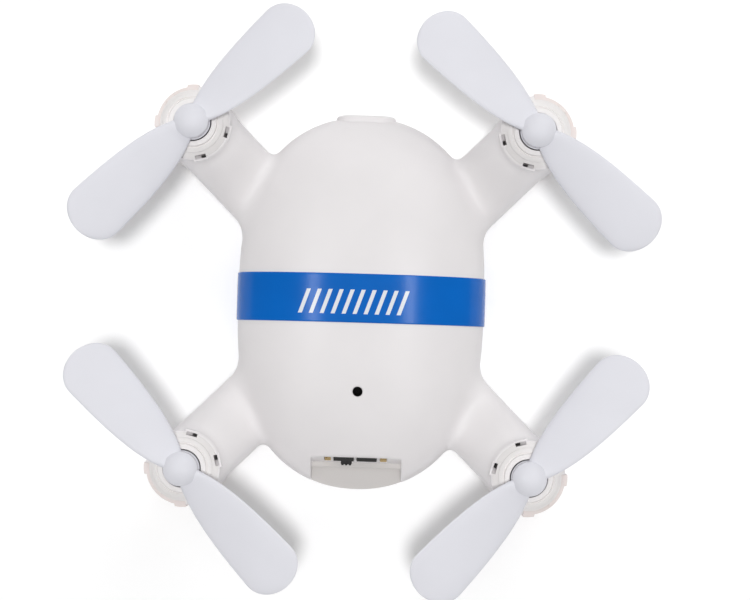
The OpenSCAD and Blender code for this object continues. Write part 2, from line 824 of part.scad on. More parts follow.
upper_shell();
lower_shell();
belt_upper();
belt_lower();
nose_bezel();
nose_lens();
nose_leds();
main_board();
board_chips();
radio_shield();
crystal();
pressure_sensor();
antenna_wire();
battery_cell();
battery_pad();
battery_leads();
battery_plug();
battery_socket();
switch_case();
switch_knob();
charge_socket();
charge_pins();
port_tabs();
shell_screws();
for (i = [0:3]) {
    motor_can(i);
    motor_cap(i);
    motor_rotor(i);
    propeller(i);
    pod_ring(i);
    lamp_foot(i);
    foot_led(i);
    pod_leads(i);
}
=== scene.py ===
# Looks of the mini palm drone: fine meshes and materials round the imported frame.
# Sizes in this file are millimetres in the frame's own axes; make_mesh turns them into metres.
import json
import math

import bmesh
import bpy
import numpy as np
from mathutils import Matrix, Vector


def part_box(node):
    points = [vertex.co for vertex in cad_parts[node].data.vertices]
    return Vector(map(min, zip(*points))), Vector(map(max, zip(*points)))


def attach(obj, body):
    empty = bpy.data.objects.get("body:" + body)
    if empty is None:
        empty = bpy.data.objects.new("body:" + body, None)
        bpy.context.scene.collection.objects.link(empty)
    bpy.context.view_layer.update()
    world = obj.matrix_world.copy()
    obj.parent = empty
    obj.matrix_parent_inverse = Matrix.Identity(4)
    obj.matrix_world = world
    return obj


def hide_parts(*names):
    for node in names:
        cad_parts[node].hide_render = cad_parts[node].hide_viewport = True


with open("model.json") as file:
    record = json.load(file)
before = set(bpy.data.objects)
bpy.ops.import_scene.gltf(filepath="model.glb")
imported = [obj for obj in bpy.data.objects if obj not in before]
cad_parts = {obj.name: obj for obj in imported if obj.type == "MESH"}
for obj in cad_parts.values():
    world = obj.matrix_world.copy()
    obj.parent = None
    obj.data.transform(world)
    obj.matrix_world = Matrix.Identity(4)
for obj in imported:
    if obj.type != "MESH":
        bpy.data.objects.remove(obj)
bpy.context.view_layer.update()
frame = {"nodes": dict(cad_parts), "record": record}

MM_PER_M = 1000
CORNERS = ["fl", "fr", "rl", "rr"]


def box_mm(node):
    """Lowest and highest corners of a CAD node in millimetres."""
    low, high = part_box(node)
    return np.array(low) * MM_PER_M, np.array(high) * MM_PER_M


def metres(place):
    return Vector(place) / MM_PER_M


# ---------- sizes that several pieces share, read from the frame where its boxes tell them ----------

BELT_T = 0.25
BELT_LOW, BELT_HIGH = box_mm("belt_upper")
SEAM = box_mm("upper_shell")[0][2]
HALF_W = BELT_HIGH[0] - BELT_T
BODY_TOP = BELT_HIGH[2] - BELT_T
BELLY = box_mm("belt_lower")[0][2] + BELT_T
NOSE_LOW, NOSE_HIGH = box_mm("nose_bezel")
NOSE_PROUD = 0.1
NOSE_Z = (NOSE_LOW[2] + NOSE_HIGH[2]) / 2
NOSE_W = NOSE_HIGH[0] - NOSE_LOW[0]
NOSE_H = NOSE_HIGH[2] - NOSE_LOW[2]
BODY_FRONT = NOSE_HIGH[1] - NOSE_PROUD
BODY_REAR = 33.5
EGG_POWER = 2.1
LENGTH_POWER = 2.85
WALL = 1.2
SMALL_ROUND = 0.12

CAN_LOW, CAN_HIGH = box_mm("motor_can_fr")
HALF_PITCH = (CAN_LOW[0] + CAN_HIGH[0]) / 2
DIAGONAL = HALF_PITCH * math.sqrt(2)
MOTOR_R = (CAN_HIGH[0] - CAN_LOW[0]) / 2
CAN_BOSS = 0.5
CAN_TOP = CAN_HIGH[2] - CAN_BOSS
RING_RISE = 1.9
POD_TOP = box_mm("pod_ring_fr")[1][2] - RING_RISE
POD_BOTTOM = box_mm("lower_shell")[0][2]
POD_R = 6.5
CORE_R = 5.65
LAMP_ANGLE = math.radians(52)
ARM_R = 6.2
ARM_TOP = 22.2
ARM_ROOT = 17
ARM_LOW = 6.4
ARM_POWER = 2.4
CLIMB_START = 26
CLIMB_END = 37
ARM_END = 5.6

CLIP_ANGLE = math.radians(31)
CLIP_R = 6.0
CLIP_LEN = 1.9
CLIP_W = 0.6
CLIP_FLOOR = 14.2
CLIP_RAMP = 1.1
CLIP_SIDES = (-1, 1)
RIM_W = 0.4
RIM_ROUND = 0.15
RIM_SUNK = 1.6
RIM_PROUD = 0.3

RECESS_HALF = 7.9
LEDGE_Z = 16.5
LEDGE_FRONT = -28.5
LEDGE_REAR = -29.55
RECESS_LEAN = 0.244
WINDOWS = [(-5.6, -4.4), (-4, -0.3), (0.05, 3.7), (4.15, 5.5)]
WINDOW_LOW = 16.9
WINDOW_HIGH = 20.6
PORT_Y = -15.9
PORT_R = 0.85
POSTS = [(x, y) for x in (-12, 12) for y in (-19, 19)]
POST_R = 2.2
SCREW_R = 0.6
HEAD_R = 1.3
HEAD_Z = 8
SCREW_TIP = box_mm("shell_screws")[1][2]
BOARD_LOW = box_mm("main_board")[0][2]
STANDOFFS = [(x, y) for x in (-12.3, 12.3) for y in (-10, 10)]
STANDOFF_R = 1.2


def pod_side(corner):
    """Signs of x and y at a pod, from its name: front or rear, left or right."""
    return (1 if corner[1] == "r" else -1), (1 if corner[0] == "f" else -1)


def pod_angle(corner):
    """Direction of a pod from the middle of the body, about +Z from +X."""
    x, y = pod_side(corner)
    return math.atan2(y, x)


def pod_place(corner):
    """Foot of a pod's axis."""
    x, y = pod_side(corner)
    return x * HALF_PITCH, y * HALF_PITCH, 0


# ---------- small solids as (points, faces) ----------

def soften(outline, radius, steps=3, closed=True):
    """Round the corners of a flat outline."""
    points = [np.array(p, float) for p in outline]
    count = len(points)
    result = []
    for k, corner in enumerate(points):
        if not closed and k in (0, count - 1):
            result.append(corner)
            continue
        back = points[k - 1] - corner
        ahead = points[(k + 1) % count] - corner
        back_len, ahead_len = np.linalg.norm(back), np.linalg.norm(ahead)
        back, ahead = back / back_len, ahead / ahead_len
        half = math.acos(max(-1, min(1, back @ ahead))) / 2
        if half > math.radians(88):
            result.append(corner)
            continue
        trim = min(radius / math.tan(half), 0.45 * back_len, 0.45 * ahead_len)
        arc_r = trim * math.tan(half)
        middle = corner + (back + ahead) / np.linalg.norm(back + ahead) * arc_r / math.sin(half)
        first = corner + back * trim - middle
        last = corner + ahead * trim - middle
        start = math.atan2(first[1], first[0])
        turn = (math.atan2(last[1], last[0]) - start + math.pi) % (2 * math.pi) - math.pi
        for t in np.linspace(0, 1, steps + 1):
            a = start + turn * t
            result.append(middle + arc_r * np.array([math.cos(a), math.sin(a)]))
    return result


def lathe(profile, turns=96):
    """Solid made by turning (radius, height) points round Z; an outline off the axis closes on itself."""
    angles = np.arange(turns) * 2 * math.pi / turns
    points, rows = [], []
    for r, z in profile:
        first = len(points)
        if r < 1e-6:
            rows.append([first] * turns)
            points.append((0, 0, z))
        else:
            rows.append(list(range(first, first + turns)))
            points.extend((r * math.cos(a), r * math.sin(a), z) for a in angles)
    if profile[0][0] > 1e-6:
        rows.append(rows[0])
    faces = []
    for low, high in zip(rows, rows[1:]):
        for k in range(turns):
            after = (k + 1) % turns
            face = list(dict.fromkeys([low[k], low[after], high[after], high[k]]))
            if len(face) > 2:
                faces.append(face)
    return np.array(points, float), faces


def loft(rings):
    """Solid through rings that all have the same number of points, with flat ends."""
    count = len(rings[0])
    points = np.concatenate([np.asarray(ring, float) for ring in rings])
    faces = [list(range(count))[::-1]]
    for row in range(len(rings) - 1):
        base = row * count
        for k in range(count):
            after = (k + 1) % count
            faces.append([base + k, base + after, base + count + after, base + count + k])
    last = (len(rings) - 1) * count
    faces.append(list(range(last, last + count)))
    return points, faces


def inset(outline, by):
    """The outline moved inwards by a small distance; it runs anticlockwise."""
    ring = np.asarray(outline, float)
    along = np.roll(ring, -1, 0) - np.roll(ring, 1, 0)
    along /= np.linalg.norm(along, axis=1)[:, None]
    return ring + by * np.stack([-along[:, 1], along[:, 0]], 1)


def prism(outline, low, high, top_round=0.0, low_round=0.0, steps=3):
    """Upright solid on an anticlockwise outline, with rounded top or bottom edges."""
    bend = np.linspace(0, math.pi / 2, steps + 1)
    levels = [(low, 0)]
    if low_round:
        levels = [(low + low_round * (1 - math.cos(a)), low_round * (1 - math.sin(a))) for a in bend]
    if top_round:
        levels += [(high - top_round * (1 - math.sin(a)), top_round * (1 - math.cos(a))) for a in bend]
    else:
        levels.append((high, 0))
    rings = []
    for z, by in levels:
        flat = inset(outline, by) if by else np.asarray(outline, float)
        rings.append(np.column_stack([flat, np.full(len(flat), z)]))
    return loft(rings)


def rectangle(low_x, low_y, high_x, high_y, corner=0.0):
    outline = [(low_x, low_y), (high_x, low_y), (high_x, high_y), (low_x, high_y)]
    return soften(outline, corner) if corner else outline


def block(low, high):
    return prism(rectangle(low[0], low[1], high[0], high[1]), low[2], high[2])


def join(solids):
    """Several solids as one list of points and faces."""
    points, faces, base = [], [], 0
    for solid_points, solid_faces in solids:
        points.append(solid_points)
        faces.extend([[base + v for v in face] for face in solid_faces])
        base += len(solid_points)
    return np.concatenate(points), faces


def placed(solid, angle=0.0, at=(0, 0, 0)):
    """A solid turned about Z and then moved."""
    points, faces = solid
    c, s = math.cos(angle), math.sin(angle)
    turned = points @ np.array([[c, s, 0], [-s, c, 0], [0, 0, 1]])
    return turned + np.array(at), faces


def arc(r, first, last, steps):
    return [(r * math.cos(a), r * math.sin(a)) for a in np.linspace(first, last, steps)]


def sector(inner, outer, half_angle, steps=24):
    """Anticlockwise outline of the part of a ring within half_angle of +X."""
    return arc(outer, -half_angle, half_angle, steps) + arc(inner, -half_angle, half_angle, steps)[::-1]


def stadium(w, h, steps=16):
    """Anticlockwise outline of a bar with round ends, as wide as w and as high as h."""
    shift, r = w / 2 - h / 2, h / 2
    right = [(shift + x, z) for x, z in arc(r, -math.pi / 2, math.pi / 2, steps)]
    return right + [(-x, -z) for x, z in right]


def rod(r, low, high, turns=64):
    return lathe([(0, low), (r, low), (r, high), (0, high)], turns)


def tipped(solid):
    """A solid drawn upright, laid down so that its +Z becomes +Y and its +Y becomes +Z."""
    points, faces = solid
    return points[:, [0, 2, 1]], [face[::-1] for face in faces]


def at_pod(solid, corner):
    """A solid drawn round Z with +X away from the body, moved to a pod."""
    return placed(solid, pod_angle(corner), pod_place(corner))


def at_pods(solid):
    return join([at_pod(solid, corner) for corner in CORNERS])


def at_posts(solid):
    return join([placed(solid, 0, (x, y, 0)) for x, y in POSTS])


def at_clips(solids):
    """One solid for each side, drawn with +X away from the pod's axis, put at the two clip slots."""
    turns = [math.pi + side * CLIP_ANGLE for side in CLIP_SIDES]
    return join([placed(solid, a, (CLIP_R * math.cos(a), CLIP_R * math.sin(a), 0))
                 for solid, a in zip(solids, turns)])


# ---------- Blender meshes ----------

def make_mesh(name, solid):
    points, faces = solid
    mesh = bpy.data.meshes.new(name)
    mesh.from_pydata((points / MM_PER_M).tolist(), [], faces)
    made = bmesh.new()
    made.from_mesh(mesh)
    if made.calc_volume(signed=True) < 0:
        bmesh.ops.reverse_faces(made, faces=made.faces)
    made.to_mesh(mesh)
    made.free()
    obj = bpy.data.objects.new(name, mesh)
    bpy.context.scene.collection.objects.link(obj)
    return obj


def bake_modifiers(obj):
    bpy.context.view_layer.update()
    graph = bpy.context.evaluated_depsgraph_get()
    mesh = bpy.data.meshes.new_from_object(obj.evaluated_get(graph))
    old = obj.data
    obj.modifiers.clear()
    obj.data = mesh
    bpy.data.meshes.remove(old)
    mesh.name = obj.name


def combine(obj, operation, *solids):
    """Cut away or add each solid, one after the other."""
    others = [make_mesh("tool", solid) for solid in solids]
    for other in others:
        step = obj.modifiers.new(operation, "BOOLEAN")
        step.operation = operation
        step.solver = "MANIFOLD"
        step.object = other
    bake_modifiers(obj)
    for other in others:
        mesh = other.data
        bpy.data.objects.remove(other)
        bpy.data.meshes.remove(mesh)


def cut(obj, *solids):
    combine(obj, "DIFFERENCE", *solids)


def shade(obj, angle=35):
    mesh = obj.data
    mesh.shade_smooth()
    mesh.set_sharp_from_angle(angle=math.radians(angle))


# ---------- skin of the body, arms and pods as a distance field ----------

def smooth_min(a, b, k):
    h = np.clip(0.5 + 0.5 * (b - a) / k, 0, 1)
    return b + (a - b) * h - k * h * (1 - h)


def smooth_max(a, b, k):
    return -smooth_min(-a, -b, k)


def super_shape(places, radii, powers):
    """Distance to the surface where the powers of place / radius add up to 1."""
    shares = [np.maximum(np.abs(c) / r, 1e-6) for c, r in zip(places, radii)]
    total = sum(s ** n for s, n in zip(shares, powers))
    g = total ** (1 / powers[0])
    slope = np.sqrt(sum((n * s ** (n - 1) / r) ** 2 for s, r, n in zip(shares, radii, powers)))
    return (g - 1) * powers[0] * g ** (powers[0] - 1) / np.maximum(slope, 1e-9)


def egg(p, grow=0.0):
    """Distance to the egg-shaped body, which has its own radius in each direction."""
    x, y, z = p[:, 0], p[:, 1], p[:, 2] - SEAM
    radii = (HALF_W + grow,
             np.where(y > 0, BODY_FRONT, BODY_REAR) + grow,
             np.where(z > 0, BODY_TOP - SEAM, SEAM - BELLY) + grow)
    return super_shape((x, y, z), radii, (EGG_POWER, LENGTH_POWER, EGG_POWER))


def arms(p, thinner=0.0, reach=DIAGONAL - 1):
    """Distance to the four arms, which are crossed bars with ridges that climb towards the pods."""
    x, y, z = np.abs(p[:, 0]), np.abs(p[:, 1]), p[:, 2]
    across = (x - y) / math.sqrt(2)
    along = (x + y) / math.sqrt(2)
    t = np.clip((along - CLIMB_START) / (CLIMB_END - CLIMB_START), 0, 1)
    ridge = ARM_ROOT + (ARM_TOP - ARM_ROOT) * t * t * (3 - 2 * t)
    rise = np.where(z > SEAM, ridge - SEAM, SEAM - ARM_LOW) - thinner
    bar = super_shape((across, z - SEAM), (ARM_R - thinner, rise), (ARM_POWER, ARM_POWER))
    return np.maximum(bar, along - reach)


def barrels(p, edge=0.35):
    """Distance to the four pod barrels, with a small round on their rims."""
    radial = np.hypot(np.abs(p[:, 0]) - HALF_PITCH, np.abs(p[:, 1]) - HALF_PITCH) - POD_R + edge
    middle, half = (POD_TOP + POD_BOTTOM) / 2, (POD_TOP - POD_BOTTOM) / 2
    upright = np.abs(p[:, 2] - middle) - half + edge
    outside = np.hypot(np.maximum(radial, 0), np.maximum(upright, 0))
    return outside + np.minimum(np.maximum(radial, upright), 0) - edge


def recess(p, grow=0.0):
    """Distance to the space of the rear recess, made larger on every side by grow."""
    x, y, z = p[:, 0], p[:, 1], p[:, 2]
    wall = (y - LEDGE_FRONT - RECESS_LEAN * (z - LEDGE_Z)) / math.hypot(1, RECESS_LEAN)
    over_ledge = smooth_max(wall, LEDGE_Z - z, 0.2)
    space = np.minimum(over_ledge, y - LEDGE_REAR)
    return smooth_max(space, np.abs(x) - RECESS_HALF, 0.3) - grow


BODY_FILLET = 2.0
POD_FILLET = 1.5
CAVITY_FILLET = 3.0
RECESS_EDGE = 0.3
PORT_DEPTH = 5


def lower_skin(p):
    """Outside of the body, the arms and the pods."""
    return smooth_min(smooth_min(egg(p), arms(p), BODY_FILLET), barrels(p), POD_FILLET)


def upper_skin(p):
    """The same with the rear recess and the pressure port."""
    port = np.maximum(np.hypot(p[:, 0], p[:, 1] - PORT_Y) - PORT_R, BODY_TOP - PORT_DEPTH - p[:, 2])
    return smooth_max(lower_skin(p), -np.minimum(recess(p), port), RECESS_EDGE)


def cavity(p):
    """Hollow inside both shells, clear of the screw posts and of the walls round the recess."""
    hollow = smooth_min(egg(p, -WALL), arms(p, WALL, DIAGONAL - ARM_END), CAVITY_FILLET)
    keep = [np.hypot(p[:, 0] - x, p[:, 1] - y) - POST_R for x, y in POSTS]
    keep.append(np.maximum(recess(p, WALL), SEAM - WALL - p[:, 2]))
    for x, y in STANDOFFS:
        standoff = np.hypot(p[:, 0] - x, p[:, 1] - y) - STANDOFF_R
        keep.append(np.maximum(standoff, p[:, 2] - BOARD_LOW))
    for solid in keep:
        hollow = np.maximum(hollow, -solid)
    return hollow


def slope_of(field, p, step=0.01):
    result = np.empty_like(p)
    for axis in range(3):
        move = np.zeros(3)
        move[axis] = step
        result[:, axis] = (field(p + move) - field(p - move)) / (2 * step)
    return result


CELL_CORNERS = [(i, j, k) for i in (0, 1) for j in (0, 1) for k in (0, 1)]


def sampled(field, low, high, cell, coarse=4):
    """Axes of a grid and the field on it; far from the surface a whole block has one value."""
    counts = [int(math.ceil((h - l) / cell / coarse)) for l, h in zip(low, high)]
    axes = [l + cell * np.arange(n * coarse) for l, n in zip(low, counts)]
    middles = [l + cell * (coarse * np.arange(n) + (coarse - 1) / 2) for l, n in zip(low, counts)]
    grid = np.stack(np.meshgrid(*middles, indexing="ij"), -1).reshape(-1, 3)
    rough = field(grid).reshape(counts)

    def spread(blocks):
        for axis in range(3):
            blocks = np.repeat(blocks, coarse, axis)
        return blocks

    values = spread(rough).astype(np.float64)
    near = np.nonzero(spread(np.abs(rough) < 1.4 * coarse * cell))
    values[near] = field(np.stack([axes[k][near[k]] for k in range(3)], -1))
    return axes, values


def crossing_middles(values, cells, cell):
    """Mean of the places where the field crosses zero on a cell's edges, measured from its low corner."""
    corner_values = {c: values[tuple(cells[k] + c[k] for k in range(3))] for c in CELL_CORNERS}
    total = np.zeros((len(cells[0]), 3))
    crossings = np.zeros(len(cells[0]))
    for a in CELL_CORNERS:
        for axis in range(3):
            if a[axis]:
                continue
            b = tuple(1 if k == axis else a[k] for k in range(3))
            va, vb = corner_values[a], corner_values[b]
            crossed = (va < 0) != (vb < 0)
            t = np.where(crossed, va / np.where(crossed, va - vb, 1), 0)
            point = np.zeros((len(t), 3)) + np.array(a, float)
            point[:, axis] += t
            total += point * crossed[:, None]
            crossings += crossed
    return cell * total / crossings[:, None]


def quads_round_edges(inside, index):
    """For each grid edge that crosses the surface, the points of the four cells round it."""
    faces = []
    for axis in range(3):
        u, v = (axis + 1) % 3, (axis + 2) % 3
        ahead = [slice(None)] * 3
        behind = [slice(None)] * 3
        behind[axis], ahead[axis] = slice(0, -1), slice(1, None)
        first, second = inside[tuple(behind)], inside[tuple(ahead)]
        for goes_out in (True, False):
            edge = np.nonzero((first & ~second) if goes_out else (~first & second))
            ring = []
            for du, dv in ((-1, -1), (0, -1), (0, 0), (-1, 0)):
                place = [edge[0].copy(), edge[1].copy(), edge[2].copy()]
                place[u] += du
                place[v] += dv
                ring.append(index[tuple(place)])
            faces.append(np.stack(ring if goes_out else ring[::-1], 1))
    return np.concatenate(faces).tolist()


def settled(field, points, cell):
    """The points moved onto the surface along the slope of the field."""
    for _ in range(3):
        slope = slope_of(field, points)
        length = np.maximum((slope ** 2).sum(1), 0.05)
        move = slope * (field(points) / length)[:, None]
        size = np.maximum(np.linalg.norm(move, axis=1), 1e-12)
        points = points - move * np.minimum(1, 0.5 * cell / size)[:, None]
    return points


def surface_of(field, low, high, cell):
    """Closed quad surface where the field is zero: one point in each grid cell that it crosses."""
    axes, values = sampled(field, low, high, cell)
    inside = values < 0
    shape = [n - 1 for n in inside.shape]
    hits = sum(inside[tuple(slice(c, c + n) for c, n in zip(corner, shape))].astype(np.int8)
               for corner in CELL_CORNERS)
    cells = np.nonzero((hits > 0) & (hits < len(CELL_CORNERS)))
    index = np.full(shape, -1, np.int64)
    index[cells] = np.arange(len(cells[0]))
    points = np.stack([axes[k][cells[k]] for k in range(3)], -1) + crossing_middles(values, cells, cell)
    return settled(field, points, cell), quads_round_edges(inside, index)


def vertices_mm(mesh):
    points = np.empty(len(mesh.vertices) * 3)
    mesh.vertices.foreach_get("co", points)
    return points.reshape(-1, 3) * MM_PER_M


def smooth_normals(obj, field):
    """Take the shading of the moulded skin from the field itself, and leave the cut faces alone."""
    mesh = obj.data
    mesh.shade_smooth()
    mesh.set_sharp_from_angle(angle=math.radians(40))
    points = vertices_mm(mesh)
    slope = slope_of(field, points)
    slope /= np.maximum(np.linalg.norm(slope, axis=1), 1e-9)[:, None]
    on_skin = np.abs(field(points)) < 0.01
    corner_vertex = np.empty(len(mesh.loops), np.int64)
    mesh.loops.foreach_get("vertex_index", corner_vertex)
    flat = np.empty(len(mesh.polygons) * 3)
    mesh.polygons.foreach_get("normal", flat)
    sizes = np.empty(len(mesh.polygons), np.int64)
    mesh.polygons.foreach_get("loop_total", sizes)
    face_normal = np.repeat(flat.reshape(-1, 3), sizes, 0)
    wanted = slope[corner_vertex]
    agree = (wanted * face_normal).sum(1) > 0.85
    wanted[~(agree & on_skin[corner_vertex])] = 0
    mesh.normals_split_custom_set(wanted.tolist())


# ---------- shells ----------

CELL = 0.25
CAVITY_CELL = 0.6
FIELD_REACH = 38
SEAM_GAP = 0.06
# How far each half is drawn past the seam, and its grid with it, before it is cut there
LAP = 1
GRID_LAP = 1.5
SLEEVE_GAP = 0.05
RING_SLEEVE_R = 4
NOSE_GAP = 0.1
WINDOW_FRONT = -25.6
SCREW_FIT = 0.02
SCREW_GAP = 0.15
# Ways for the wires: a well in each pod and a passage from it into the arm
WAY_HALF = 1.6
WAY_TOP = 10.8
WELL_END = -5.2
PASSAGE_ENDS = (-8, -4)
PASSAGE_LOW = 8.2


def nose_bar(w, h, back, front, edge=0.0):
    """Bar with round ends in the nose, running along Y."""
    return placed(tipped(prism(stadium(w, h), back, front, edge)), 0, (0, 0, NOSE_Z))


def clip_slot(side):
    """Slot whose ramp leads into its deep half."""
    half, top = CLIP_LEN / 2, POD_TOP + 4
    outline = [(-half, ARM_TOP), (0, ARM_TOP - CLIP_RAMP), (0, CLIP_FLOOR), (half, CLIP_FLOOR),
               (half, top), (-half, top)]
    if side < 0:
        outline = [(-x, z) for x, z in reversed(outline)]
    return placed(tipped(prism(outline, -CLIP_W / 2, CLIP_W / 2)), -math.pi / 2)


def clip_slots():
    return at_clips([clip_slot(side) for side in CLIP_SIDES])


def clip_rims():
    """Small ridges that stand behind the two clip slots of a pod."""
    half = CLIP_LEN / 2 + RIM_W
    plan = rectangle(CLIP_W / 2, -half, CLIP_W / 2 + RIM_W, half, RIM_ROUND)
    rim = prism(plan, ARM_TOP - RIM_SUNK, ARM_TOP + RIM_PROUD, top_round=RIM_ROUND)
    return at_clips([rim] * len(CLIP_SIDES))


def press_groove(obj, field, depth=0.1, reach=0.3):
    """Turn the shell's edge at the seam in a little, so that the two halves meet in a fine groove."""
    mesh = obj.data
    points = vertices_mm(mesh)
    slope = slope_of(field, points)
    near = np.clip(1 - np.abs(points[:, 2] - SEAM) / reach, 0, 1) * (np.abs(field(points)) < 0.02)
    points -= slope * (depth * near)[:, None]
    mesh.vertices.foreach_set("co", (points / MM_PER_M).ravel())
    mesh.update()


def shell(name, field, up, hollow, cuts, extras=()):
    """One half of the casing: its skin, cut at the seam, hollowed and pierced, with extras added on."""
    sign = 1 if up else -1
    spill = SEAM - sign * LAP
    ends = (SEAM - GRID_LAP, BODY_TOP + 1) if up else (POD_BOTTOM - 2, SEAM + GRID_LAP)
    obj = make_mesh(name, surface_of(lambda p: np.maximum(field(p), sign * (spill - p[:, 2])),
                                     (-FIELD_REACH, -FIELD_REACH, ends[0]),
                                     (FIELD_REACH, FIELD_REACH, ends[1]), CELL))
    wide = 2 * FIELD_REACH
    low, high = sorted((SEAM + sign * SEAM_GAP / 2, SEAM - sign * 5 * LAP))
    cut(obj, block((-wide, -wide, low), (wide, wide, high)), hollow)
    if extras:
        combine(obj, "UNION", *extras)
    cut(obj, *cuts)
    press_groove(obj, field)
    smooth_normals(obj, field)
    return obj


def shells():
    hollow = surface_of(cavity, (-FIELD_REACH, -FIELD_REACH, 2), (FIELD_REACH, FIELD_REACH, BODY_TOP),
                        CAVITY_CELL)
    nose_hole = nose_bar(NOSE_W + NOSE_GAP, NOSE_H + NOSE_GAP, BODY_FRONT - 6, BODY_FRONT + 4)
    bore = MOTOR_R + SLEEVE_GAP
    lamp_gap = at_pods(prism(sector(CORE_R, 10, LAMP_ANGLE), 0, POD_TOP + 2))
    windows = [placed(tipped(prism(rectangle(a, WINDOW_LOW, b, WINDOW_HIGH, SMALL_ROUND),
                                   LEDGE_REAR - 2, WINDOW_FRONT))) for a, b in WINDOWS]
    upper = shell("upper_shell_moulding", upper_skin, True, hollow, [
        at_pods(rod(bore, SEAM - 2, POD_TOP + 2)),
        at_pods(rod(RING_SLEEVE_R + SLEEVE_GAP, CAN_TOP, POD_TOP + 2)),
        lamp_gap,
        at_pods(clip_slots()),
        join([at_posts(rod(SCREW_R + SCREW_FIT, SEAM - 2, SCREW_TIP + 1))] + windows),
        nose_hole], [at_pods(clip_rims())])
    lower = shell("lower_shell_moulding", lower_skin, False, hollow, [
        at_pods(rod(bore, POD_BOTTOM - 2, SEAM + 2)),
        lamp_gap,
        at_pods(block((WELL_END, -WAY_HALF, POD_BOTTOM - 1), (0, WAY_HALF, WAY_TOP))),
        at_pods(block((PASSAGE_ENDS[0], -WAY_HALF, PASSAGE_LOW), (PASSAGE_ENDS[1], WAY_HALF, WAY_TOP))),
        at_posts(rod(SCREW_R + SCREW_GAP, 0, SEAM + 2)),
        at_posts(rod(HEAD_R + SCREW_GAP, 0, HEAD_Z)),
        nose_hole])
    finish(upper, "shell", "airframe", "upper_shell")
    finish(lower, "shell", "airframe", "lower_shell")


# ---------- belt ----------

BELT_FRONT = BELT_HIGH[1]
BELT_REAR = BELT_LOW[1]
BELT_EDGE = 0.2
BELT_UNDER = -0.1
BELT_STEP = 2.0


def belt_point(y, angle, grow):
    """Point of the egg, grown by grow, in the plane at y and at an angle round the Y axis from +X."""
    rise = BODY_TOP - SEAM if math.sin(angle) > 0 else SEAM - BELLY
    length = BODY_FRONT if y > 0 else BODY_REAR
    left = 1 - (abs(y) / (length + grow)) ** LENGTH_POWER
    spread = (abs(math.cos(angle)) / (HALF_W + grow)) ** EGG_POWER
    spread += (abs(math.sin(angle)) / (rise + grow)) ** EGG_POWER
    r = (left / spread) ** (1 / EGG_POWER)
    return r * math.cos(angle), y, SEAM + r * math.sin(angle)


def belt(name, first, last, node):
    """Strip between two angles in degrees; its edges are rounded and its underside sits in the skin."""
    middle, half = (BELT_FRONT + BELT_REAR) / 2, (BELT_FRONT - BELT_REAR) / 2
    outer = [(middle + (half - BELT_EDGE) * t, BELT_T) for t in np.linspace(1, -1, 9)]
    corner = [(BELT_EDGE * math.sin(a), BELT_EDGE * (math.cos(a) - 1))
              for a in np.linspace(math.pi / 2, 0.3, 4)]
    front = [(middle + half - BELT_EDGE + dy, BELT_T + dt) for dy, dt in corner]
    rear = [(2 * middle - y, t) for y, t in reversed(front)]
    under = [(BELT_REAR, BELT_UNDER), (BELT_FRONT, BELT_UNDER)]
    profile = front + outer + rear + under
    turns = np.radians(np.arange(first, last + BELT_STEP / 2, BELT_STEP))
    rings = [[belt_point(y, a, grow) for y, grow in profile] for a in turns]
    obj = make_mesh(name, loft(rings))
    shade(obj, 30)
    finish(obj, "belt", "airframe", node)


# ---------- propellers ----------

PROP_R = 27.27
BLADE_W = 10.9
BLADE_Z = 26.2
BLADE_T = 0.9
# The width grows along the blade as 1 - exp(-(r + CHORD_SHIFT) / CHORD_SPAN)
CHORD_SHIFT = 1.6
CHORD_SPAN = 7.2
TIP_THINNING = 0.4
ROOT_FLARE = 0.5
FLARE_SPAN = 0.7
CAMBER = 0.05
BLADE_START = 1.2
BLADE_STEP = 0.6
ROOT_PITCH = math.radians(20)
TIP_PITCH = math.radians(9)
ROOT_R = 1.6
TIP_START = 22.6
HUB_TOP = 28.5
HUB_R = 2.95
DOME_H = 1.3
COLLAR_R = 3.1
COLLAR_LOW = CAN_TOP + 1.3
COLLAR_H = 1.3
SHAFT_R = 0.4
SHAFT_FIT = 0.01
SHAFT_HOLE_TOP = 27
SPIN = {"fl": -1, "fr": 1, "rl": 1, "rr": -1}
PARK = {"fl": 0, "fr": 2, "rl": -1, "rr": 3}


def half_chord(r):
    """Half of the blade's width: it widens along the blade and closes in a round tip."""
    past = max(0, (r - TIP_START) / (PROP_R - TIP_START))
    closing = math.sqrt(max(0, 1 - past ** 2))
    return BLADE_W / 2 * (1 - math.exp(-(r + CHORD_SHIFT) / CHORD_SPAN)) * closing


def blade_ring(r, spin):
    """Section of a blade that points along +X, at a distance r from the axis."""
    half = half_chord(r)
    flare = ROOT_FLARE * math.exp(-max(0, r - HUB_R) / FLARE_SPAN)
    thick = BLADE_T * (1 - TIP_THINNING * r / PROP_R) + flare
    pitch = spin * (ROOT_PITCH + (TIP_PITCH - ROOT_PITCH) * (r - ROOT_R) / (PROP_R - ROOT_R))
    across = np.cos(np.linspace(0, math.pi, 17))
    ring = []
    for side, row in ((1, across), (-1, across[::-1][1:-1])):
        for u in row:
            fade = math.sqrt(max(0, 1 - abs(u) ** 5))
            up = CAMBER * half * (1 - u * u) + side * thick / 2 * fade
            ring.append((r, u * half * math.cos(pitch) - up * math.sin(pitch),
                         BLADE_Z + u * half * math.sin(pitch) + up * math.cos(pitch)))
    return ring


def blade(spin):
    inner = list(np.arange(BLADE_START, TIP_START, BLADE_STEP))
    outer = [TIP_START + (PROP_R - TIP_START) * math.sin(math.radians(a)) for a in [*range(0, 90, 6), 88.5]]
    return loft([blade_ring(r, spin) for r in inner + outer])


